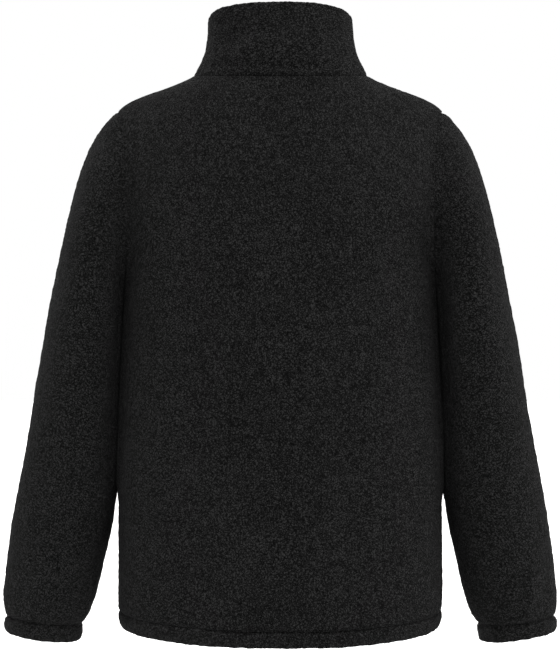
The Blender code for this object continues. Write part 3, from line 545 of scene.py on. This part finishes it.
# Each cloth piece: its node, the size of its quads, what hangs close beside it, the pieces
# that it is sewn to, its flat size and area, and its creases as creaseLift takes them.
clothPieces = {
    "jacketBack": {
        "node": "back", "size": 0.0019, "beside": "sleeves",
        "sewnTo": ["jacketFrontLeft", "jacketFrontRight"],
        "flat": (0.61, 0.66), "area": 0.36,
        "creases": (
            # side, x0, z0, x1, z1, bow, width, lift
            (1, 0.045, -0.024, -0.055, -0.027, -0.002, 0.005, -0.0026),
            (1, 0.115, -0.13, 0.098, -0.31, 0.006, 0.012, -0.0010),
            (1, -0.150, -0.18, -0.120, -0.30, -0.008, 0.010, -0.0010),
            (1, 0.165, -0.27, 0.125, -0.34, 0.006, 0.008, -0.0009),
            (1, -0.030, -0.36, 0.060, -0.372, 0.004, 0.006, -0.0006),
            (1, -0.020, -0.47, 0.085, -0.462, -0.004, 0.007, -0.0007),
            (1, 0.150, -0.57, 0.030, -0.583, 0.005, 0.007, -0.0008),
            (1, -0.060, -0.60, -0.150, -0.592, 0.004, 0.008, -0.0007),
        )},
    "jacketFrontLeft": {
        "node": "front_left", "size": 0.0021, "beside": "sleeves",
        "sewnTo": ["jacketBack"],
        "flat": (0.32, 0.66), "area": 0.185,
        "creases": (
            (-1, 0.0150, -0.66, 0.0150, -0.06, 0.0, 0.0018, -0.0016),
            (-1, 0.150, -0.25, 0.095, -0.33, 0.008, 0.010, -0.0012),
            (-1, 0.045, -0.30, 0.100, -0.36, 0.006, 0.009, -0.0009),
            (-1, 0.150, -0.52, 0.060, -0.55, 0.006, 0.009, -0.0010),
        )},
    "jacketFrontRight": {
        "node": "front_right", "size": 0.0021, "beside": "sleeves",
        "sewnTo": ["jacketBack"],
        "flat": (0.32, 0.66), "area": 0.185,
        "creases": (
            (-1, -0.0150, -0.66, -0.0150, -0.06, 0.0, 0.0018, -0.0016),
            (-1, -0.155, -0.27, -0.105, -0.36, -0.008, 0.011, -0.0012),
            (-1, -0.050, -0.42, -0.115, -0.45, 0.005, 0.009, -0.0009),
            (-1, -0.040, -0.60, -0.140, -0.58, 0.006, 0.008, -0.0009),
        )},
    "jacketSleeveLeft": {
        "node": "sleeve_left", "size": 0.0023, "beside": "body",
        "sewnTo": ["jacketBack", "jacketFrontLeft"],
        "flat": (0.50, 0.61), "area": 0.225,
        "creases": (
            (1, 0.205, -0.235, 0.245, -0.215, 0.004, 0.010, -0.0014),
            (1, 0.210, -0.350, 0.262, -0.325, 0.005, 0.011, -0.0011),
            (1, 0.318, -0.430, 0.262, -0.455, -0.004, 0.010, -0.0010),
            (1, 0.225, -0.500, 0.285, -0.480, 0.005, 0.011, -0.0013),
            (1, 0.240, -0.600, 0.300, -0.585, 0.004, 0.009, -0.0010),
            (1, 0.275, -0.672, 0.282, -0.610, 0.003, 0.007, -0.0011),
            (1, 0.318, -0.672, 0.322, -0.628, 0.002, 0.006, -0.0010),
            (-1, 0.215, -0.290, 0.262, -0.265, 0.004, 0.011, -0.0013),
            (-1, 0.225, -0.430, 0.290, -0.400, 0.005, 0.012, -0.0014),
            (-1, 0.225, -0.480, 0.300, -0.462, -0.004, 0.011, -0.0012),
            (-1, 0.250, -0.590, 0.315, -0.575, 0.004, 0.009, -0.0010),
            (-1, 0.290, -0.672, 0.296, -0.615, 0.003, 0.007, -0.0011),
        )},
    "jacketSleeveRight": {
        "node": "sleeve_right", "size": 0.0023, "beside": "body",
        "sewnTo": ["jacketBack", "jacketFrontRight"],
        "flat": (0.50, 0.61), "area": 0.225,
        "creases": (
            (1, -0.200, -0.215, -0.240, -0.190, -0.005, 0.011, -0.0018),
            (1, -0.208, -0.330, -0.258, -0.352, 0.005, 0.011, -0.0010),
            (1, -0.312, -0.410, -0.252, -0.440, 0.004, 0.011, -0.0011),
            (1, -0.228, -0.520, -0.290, -0.505, -0.005, 0.010, -0.0010),
            (1, -0.300, -0.674, -0.309, -0.600, 0.003, 0.008, 0.0020),
            (1, -0.290, -0.674, -0.297, -0.615, 0.003, 0.006, -0.0014),
            (1, -0.322, -0.674, -0.327, -0.632, 0.002, 0.007, -0.0014),
            (1, -0.262, -0.672, -0.268, -0.630, 0.002, 0.006, -0.0010),
            (-1, -0.212, -0.270, -0.262, -0.250, 0.004, 0.011, -0.0014),
            (-1, -0.222, -0.410, -0.292, -0.390, 0.005, 0.012, -0.0013),
            (-1, -0.232, -0.500, -0.300, -0.478, -0.004, 0.011, -0.0013),
            (-1, -0.285, -0.672, -0.292, -0.612, 0.003, 0.007, -0.0012),
        )},
    "jacketCollar": {
        "node": "collar", "size": 0.0021,
        "sewnTo": ["jacketBack", "jacketFrontLeft", "jacketFrontRight"],
        "flat": (0.60, 0.092), "area": 0.052,
        "creases": (
            (1, 0.082, 0.046, 0.010, 0.050, 0.003, 0.0045, -0.0036),
            (1, 0.074, 0.034, 0.022, 0.036, -0.002, 0.0040, -0.0030),
            (1, 0.078, 0.060, 0.030, 0.063, 0.002, 0.0045, -0.0028),
            (1, 0.090, 0.008, -0.070, 0.004, 0.003, 0.0045, -0.0034),
            (1, -0.020, 0.018, -0.088, 0.022, 0.002, 0.0045, -0.0026),
            (1, -0.030, 0.048, -0.080, 0.044, 0.002, 0.0045, -0.0022),
            (-1, 0.070, 0.010, 0.020, -0.006, 0.003, 0.0040, -0.0011),
            (-1, -0.074, 0.014, -0.022, -0.002, -0.003, 0.0040, -0.0011),
            (-1, 0.0150, -0.045, 0.0150, 0.038, 0.0, 0.0018, -0.0014),
            (-1, -0.0150, -0.045, -0.0150, 0.038, 0.0, 0.0018, -0.0014),
        )},
    "jacketHemBand": {
        "node": "hem_band", "size": 0.0024,
        "sewnTo": ["jacketBack", "jacketFrontLeft", "jacketFrontRight"],
        "flat": (1.17, 0.0225), "area": 0.026, "creases": ()},
    "jacketCuffLeft": {
        "node": "cuff_left", "size": 0.0023,
        "sewnTo": ["jacketSleeveLeft"],
        "flat": (0.33, 0.024), "area": 0.0077, "creases": ()},
    "jacketCuffRight": {
        "node": "cuff_right", "size": 0.0023,
        "sewnTo": ["jacketSleeveRight"],
        "flat": (0.33, 0.024), "area": 0.0077, "creases": ()},
}


def rayTree(meshes, skin=None):
    # what rays hit: whole meshes, or only their faces of one skin
    points, faces = [], []
    for mesh in meshes:
        start = len(points)
        points += [v.co.copy() for v in mesh.vertices]
        faces += [[start + i for i in f.vertices] for f in mesh.polygons
                  if skin is None or f.material_index == skin]
    return BVHTree.FromPolygons(points, faces)


neighbours = {
    "body": rayTree([nodes[name].data for name in ("back", "front_left", "front_right")]),
    "sleeves": rayTree([nodes[name].data for name in ("sleeve_left", "sleeve_right")]),
}


def makeCloth(name, values):
    bm = mergedNode(values["node"])
    # the triangles are paired back into the node's grid of quads
    bmesh.ops.join_triangles(bm, faces=bm.faces, angle_face_threshold=radians(60),
                             angle_shape_threshold=pi, topology_influence=3.0)
    markSkins(bm)
    bm = smoothed(bm, clothLook["levels"])
    refine(bm, values["size"])
    raisePile(bm, values["creases"], neighbours.get(values.get("beside")))
    pileMaterial = collarFleece if name == "jacketCollar" else fleece
    mesh = meshFrom(bm, name, pileMaterial, knitBack, pileMaterial)
    mesh.shade_smooth()
    piece = linkPiece(name, mesh, "garment", [values["node"]])
    print(name, len(mesh.polygons), "faces")
    return piece


cloth = {name: makeCloth(name, values) for name, values in clothPieces.items()}
print("cloth made")


# A moulded zip of the coarse gauge that jackets have; its teeth are 3 mm apart on each side.
zipLook = {
    "pitch": 0.0030,
    # across, depth and height of the block that holds the tape, and of the head that locks
    "block": ((0.0009, 0.0027), 0.00225, 0.00150),
    "head": ((-0.00075, 0.0012), 0.00195, 0.00115),
    "round": 0.00028,
    "ends": (0.0008, 0.0012),  # chain left free below the first tooth, and in all
    "stops": (0.0013, 0.0043),             # heights of the stops' teeth above the slider
    "spread": 0.0009,          # how far the teeth stand apart above the slider
    "edge": 0.00022,           # bevel of the slider, tab and box
    "raisedEdge": 0.00015,     # bevel of what stands up from them
    "tape": (0.00002, 0.0106, 0.0008),     # from the middle out to inside the cloth, thickness
    "tapeLength": (0.745, 0.74),           # as cut, and of what its area counts
    "sunk": 0.0020,            # how far its outer edge lies back, inside the cloth
    # the stiff end starts this far out, beside the box, and reaches this far above it; it
    # starts a little over the box's foot, and is thicker than the tape
    "film": (0.0048, 0.0045),
    "filmFoot": 0.0003,
    "filmThick": 1.2,
}


def addBlock(bm, low, high, rounding):
    size = Vector(high) - Vector(low)
    place = Matrix.Translation((Vector(high) + Vector(low)) / 2) @ Matrix.Diagonal((*size, 1))
    block = bmesh.ops.create_cube(bm, size=1.0, matrix=place)
    edges = {e for v in block["verts"] for e in v.link_edges}
    bmesh.ops.bevel(bm, geom=list(edges), offset=rounding, segments=1, profile=0.5,
                    affect="EDGES", clamp_overlap=True, material=-1)


def addCopy(bm, mesh, turned):
    # adds a mesh with its place and turn
    first = len(bm.verts)
    bm.from_mesh(mesh)
    bm.verts.ensure_lookup_table()
    for vert in bm.verts[first:]:
        vert.co = turned @ vert.co


def chainPath(node):
    # middles and outward normals of the strip's rows of four points, from the bottom up
    bm = mergedNode(node)
    places = sorted((v.co.copy() for v in bm.verts), key=lambda p: p.z)
    bm.free()
    rows = [places[i:i + 4] for i in range(0, len(places) - 3, 4)]
    middles, outs = [], []
    for row in rows:
        row.sort(key=lambda p: p.y)
        middles.append(sum(row, Vector()) / 4)
        outs.append((row[0] + row[1] - row[2] - row[3]).normalized())
    return middles, outs


def makeTeeth():
    middles = chainPath("zip_chain")[0]
    single = bmesh.new()
    for kind in ("block", "head"):
        (near, far), depth, height = zipLook[kind]
        addBlock(single, (near, -depth / 2, -height / 2), (far, depth / 2, height / 2),
                 zipLook["round"])
    tooth = meshFrom(single, "tooth")
    bm = bmesh.new()

    def addTooth(place, up, side, spread=0.0):
        across = Vector((side, 0, 0))
        turned = Matrix((across, up.cross(across), up)).transposed().to_4x4()
        turned.translation = place + across * spread
        addCopy(bm, tooth, turned)

    lengths = [0.0]
    for near, far in zip(middles, middles[1:]):
        lengths.append(lengths[-1] + (far - near).length)
    half = zipLook["pitch"] / 2
    below, free = zipLook["ends"]
    count = int((lengths[-1] - free) / half)
    for at in range(count):
        run = below + at * half
        row = max(i for i in range(len(lengths) - 1) if lengths[i] <= run)
        share = (run - lengths[row]) / (lengths[row + 1] - lengths[row])
        place = middles[row].lerp(middles[row + 1], share)
        up = (middles[row + 1] - middles[row]).normalized()
        addTooth(place, up, 1 if at % 2 == 0 else -1)
    # above the slider the two rows stand apart, up to a stop on each
    middles = chainPath("zip_tape_left")[0]
    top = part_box("zip_slider")[1].z
    up = (middles[-1] - middles[-2]).normalized()
    place = middles[-1] + up * ((top - middles[-1].z) / up.z)
    place.x = 0.0
    for side in (1, -1):
        for at in zipLook["stops"]:
            addTooth(place + up * at, up, side, zipLook["spread"])
    mesh = meshFrom(bm, "zipTeeth", acetal)
    bpy.data.meshes.remove(tooth)
    linkPiece("zipTeeth", mesh, "garment", ["zip_chain"])
    print("zipTeeth", count, "teeth,", len(mesh.polygons), "faces")


def softenNode(name, node, body, material, blocks=()):
    # the node with rounded edges, and what stands up from it
    bm = mergedNode(node)
    bmesh.ops.dissolve_limit(bm, angle_limit=radians(2), verts=bm.verts, edges=bm.edges)
    sharp = [e for e in bm.edges if e.calc_face_angle(0) > radians(35)]
    bmesh.ops.bevel(bm, geom=sharp, offset=zipLook["edge"], segments=2, affect="EDGES",
                    clamp_overlap=True, profile=0.6, material=-1)
    for low, high in blocks:
        addBlock(bm, low, high, zipLook["raisedEdge"])
    mesh = meshFrom(bm, name, material)
    linkPiece(name, mesh, body, [node])
    print(name, len(mesh.polygons), "faces")


def atHeight(path, height):
    # middle and outward normal of a strip at a height; past its ends it runs on straight
    middles, outs = path
    row = max([i for i in range(len(middles) - 1) if middles[i].z <= height] or [0])
    share = (height - middles[row].z) / (middles[row + 1].z - middles[row].z)
    return (middles[row].lerp(middles[row + 1], share),
            outs[row].lerp(outs[row + 1], share).normalized())


def makeTapePiece(name, node, side):
    # woven tape from under the teeth to inside the cloth, and its stiff end beside the box
    bm = bmesh.new()
    inner, outer, thick = zipLook["tape"]
    chain, tape = chainPath("zip_chain"), chainPath(node)

    def strip(heights, near, far, thick, material):
        # its near edge follows the chain, as high as that goes, and its far edge the tape
        rows = []
        for height in heights:
            middle = chain if height <= chain[0][-1].z else tape
            row = []
            for x, half, path, back in ((near, 0.5, middle, 0.0),
                                        (far, 0.5, tape, zipLook["sunk"]),
                                        (far, -0.5, tape, zipLook["sunk"]),
                                        (near, -0.5, middle, 0.0)):
                place, out = atHeight(path, height)
                row.append(bm.verts.new(Vector((side * x, place.y, place.z))
                                        + out * (thick * half - back)))
            rows.append(row)
        faces = [bm.faces.new(rows[0]), bm.faces.new(rows[-1][::-1])]
        for low, high in zip(rows, rows[1:]):
            for i in range(4):
                faces.append(bm.faces.new((low[i], high[i], high[(i + 1) % 4],
                                           low[(i + 1) % 4])))
        for face in faces:
            face.material_index = material

    low, high = tape[0][0].z, tape[0][-1].z
    strip(sorted({p.z for p in tape[0]} | {p.z for p in chain[0] if low < p.z < high}),
          inner, outer, thick, 0)
    filmFrom, above = zipLook["film"]
    strip((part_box("zip_box")[0].z + zipLook["filmFoot"], low, low + above), filmFrom, outer,
          thick * zipLook["filmThick"], 1)
    bmesh.ops.recalc_face_normals(bm, faces=bm.faces)
    mesh = meshFrom(bm, name, wovenTape, acetal)
    piece = linkPiece(name, mesh, "garment", [node])


# Three ribs to grip across the front of the box, and a raised panel on both sides of the tab.
boxRibs = {"half": 0.0036, "proud": 0.0003, "deep": 0.0010, "high": 0.0009,
           "heights": (0.0022, 0.0045, 0.0068)}
tabPanel = {"half": 0.0024, "proud": 0.00018, "heights": (0.0028, 0.0180)}


def boxBlocks():
    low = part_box("zip_box")[0]
    return [((-boxRibs["half"], low.y - boxRibs["proud"], low.z + up),
             (boxRibs["half"], low.y + boxRibs["deep"], low.z + up + boxRibs["high"]))
            for up in boxRibs["heights"]]


def tabBlocks():
    low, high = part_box("zip_pull")
    bottom, top = tabPanel["heights"]
    return [((-tabPanel["half"], low.y - tabPanel["proud"], low.z + bottom),
             (tabPanel["half"], high.y + tabPanel["proud"], low.z + top))]


makeTeeth()
softenNode("zipBottomBox", "zip_box", "garment", acetal, boxBlocks())
softenNode("zipSliderBody", "zip_slider", "garment", lacquer)
softenNode("zipPullTab", "zip_pull", "pull_tab", lacquer, tabBlocks())
makeTapePiece("zipTapeLeft", "zip_tape_left", 1)
makeTapePiece("zipTapeRight", "zip_tape_right", -1)
print("zip made")


# Topstitches in polyester thread, one after another along each line, just over the cloth.
stitchLook = {
    "long": 0.0028, "apart": 0.0036, "thick": 0.00040, "raised": 0.00025,
    "sides": (6, 4),           # segments and rings of a stitch
    "fromSeam": 0.0016,        # how far a band's topstitch lies from its seam
    "besideZip": 0.0150,
    "break": 0.012,            # a line of stitches stops where the cloth is parted by more
    "sectors": 48, "rays": 720,            # round a band
    # the rays start this far out
    "from": {"hem_band": 0.4, "cuff_left": 0.07, "cuff_right": 0.07},
    "frontRays": (-0.6, -0.69, 0.002, 365),    # y, lowest z, step and number beside the zip
}


def layStitches(single, tree, rays):
    # rays are (start, way); the stitches lie one after another along the points that they hit
    bm = bmesh.new()
    hits = [tree.ray_cast(start, way)[:2] for start, way in rays]
    length, wanted = 0.0, stitchLook["apart"] / 2
    for (near, normal), (far, _) in zip(hits, hits[1:]):
        if near is None or far is None or (far - near).length > stitchLook["break"]:
            continue
        step = far - near
        while wanted < length + step.length:
            along = step.normalized()
            across = normal.cross(along).normalized()
            turned = Matrix((along, across, along.cross(across))).transposed().to_4x4()
            turned.translation = (near + step * ((wanted - length) / step.length)
                                  + normal * stitchLook["raised"])
            addCopy(bm, single, turned)
            wanted += stitchLook["apart"]
        length += step.length
    return meshFrom(bm, "stitchLine")


def bandRays(node):
    # rays from all round at a band's upper edge, just above its seam
    sectors, count = stitchLook["sectors"], stitchLook["rays"]
    places = [v.co.copy() for v in nodes[node].data.vertices]
    middle = sum(places, Vector()) / len(places)
    if node == "hem_band":
        middle.x, middle.y = 0.0, 0.0
    tops = {}
    for place in places:
        turn = round(atan2(place.y - middle.y, place.x - middle.x) / (2 * pi) * sectors)
        tops[turn % sectors] = max(tops.get(turn % sectors, place.z), place.z)
    known = [tops.get(i, tops.get(i - 1, tops.get((i + 1) % sectors, middle.z)))
             for i in range(sectors)]
    even = [(known[i - 1] + known[i] * 2 + known[(i + 1) % sectors]) / 4
            for i in range(sectors)]
    rays = []
    for at in range(count):
        turn = at * sectors / count
        share = turn % 1
        height = even[int(turn)] * (1 - share) + even[(int(turn) + 1) % sectors] * share
        way = Vector((cos(at / count * 2 * pi), sin(at / count * 2 * pi), 0))
        start = (Vector((middle.x, middle.y, height + stitchLook["fromSeam"]))
                 + way * stitchLook["from"][node])
        rays.append((start, -way))
    return rays


def outerTree(names):
    return rayTree([cloth[name].data for name in names], outerSkin)


def makeStitches():
    bm = bmesh.new()
    thick, (segments, rings) = stitchLook["thick"], stitchLook["sides"]
    shape = Matrix.Diagonal((stitchLook["long"] / 2, thick, thick, 1))
    bmesh.ops.create_uvsphere(bm, u_segments=segments, v_segments=rings, radius=1.0,
                              matrix=shape @ Matrix.Rotation(pi / 2, 4, "Y"))
    single = meshFrom(bm, "stitch")
    body = outerTree(["jacketBack", "jacketFrontLeft", "jacketFrontRight"])
    lines = [layStitches(single, body, bandRays("hem_band"))]
    for side, sleeve in (("left", "jacketSleeveLeft"), ("right", "jacketSleeveRight")):
        lines.append(layStitches(single, outerTree([sleeve]), bandRays("cuff_" + side)))
    front = outerTree(["jacketFrontLeft", "jacketFrontRight", "jacketCollar", "jacketHemBand"])
    y, lowest, step, count = stitchLook["frontRays"]
    for side in (1, -1):
        rays = [(Vector((side * stitchLook["besideZip"], y, lowest + at * step)),
                 Vector((0, 1, 0))) for at in range(count)]
        lines.append(layStitches(single, front, rays))
    bm = bmesh.new()
    for line in lines:
        bm.from_mesh(line)
        bpy.data.meshes.remove(line)
    bpy.data.meshes.remove(single)
    mesh = meshFrom(bm, "topStitches", thread)
    mesh.shade_smooth()
    linkPiece("topStitches", mesh, "garment", [])
    print("topStitches", len(mesh.polygons), "faces")


makeStitches()
print("sewing made")


# White studio: floor, world and three broad suns.
light = {
    "world": 1.0,
    "floor": -0.90,
    "floorSize": 12.0,
    "floorColour": "#f5f5f5",
    # comes from, strength, how wide in degrees
    "softKey": ((-0.35, 1.0, 1.8), 2.6, 45),
    "softSide": ((-1.6, -0.1, 0.5), 1.1, 40),
    "softFront": ((0.7, -1.4, 1.2), 1.2, 60),
}


def makeStage():
    bm = bmesh.new()
    bmesh.ops.create_grid(bm, x_segments=1, y_segments=1, size=light["floorSize"],
                          matrix=Matrix.Translation((0, 0, light["floor"])))
    paint = newMaterial("paintedFloor", {"Base Color": linear(light["floorColour"]),
                                         "Roughness": 0.9})[0]
    floor = bpy.data.objects.new("studioFloor", meshFrom(bm, "studioFloor", paint))
    scene.collection.objects.link(floor)
    world = bpy.data.worlds.new("studio")
    world.use_nodes = True
    background = world.node_tree.nodes["Background"]
    background.inputs["Color"].default_value = (1, 1, 1, 1)
    background.inputs["Strength"].default_value = light["world"]
    scene.world = world


def makeSun(name, place, strength, width):
    lamp = bpy.data.objects.new(name, bpy.data.lights.new(name, "SUN"))
    scene.collection.objects.link(lamp)
    lamp.data.energy = strength
    lamp.data.angle = radians(width)
    lamp.rotation_mode = "QUATERNION"
    lamp.rotation_quaternion = (-Vector(place)).to_track_quat("-Z", "Y")


makeStage()
for name in ("softKey", "softSide", "softFront"):
    makeSun(name, *light[name])
scene.view_settings.view_transform = "Standard"
print("stage made")
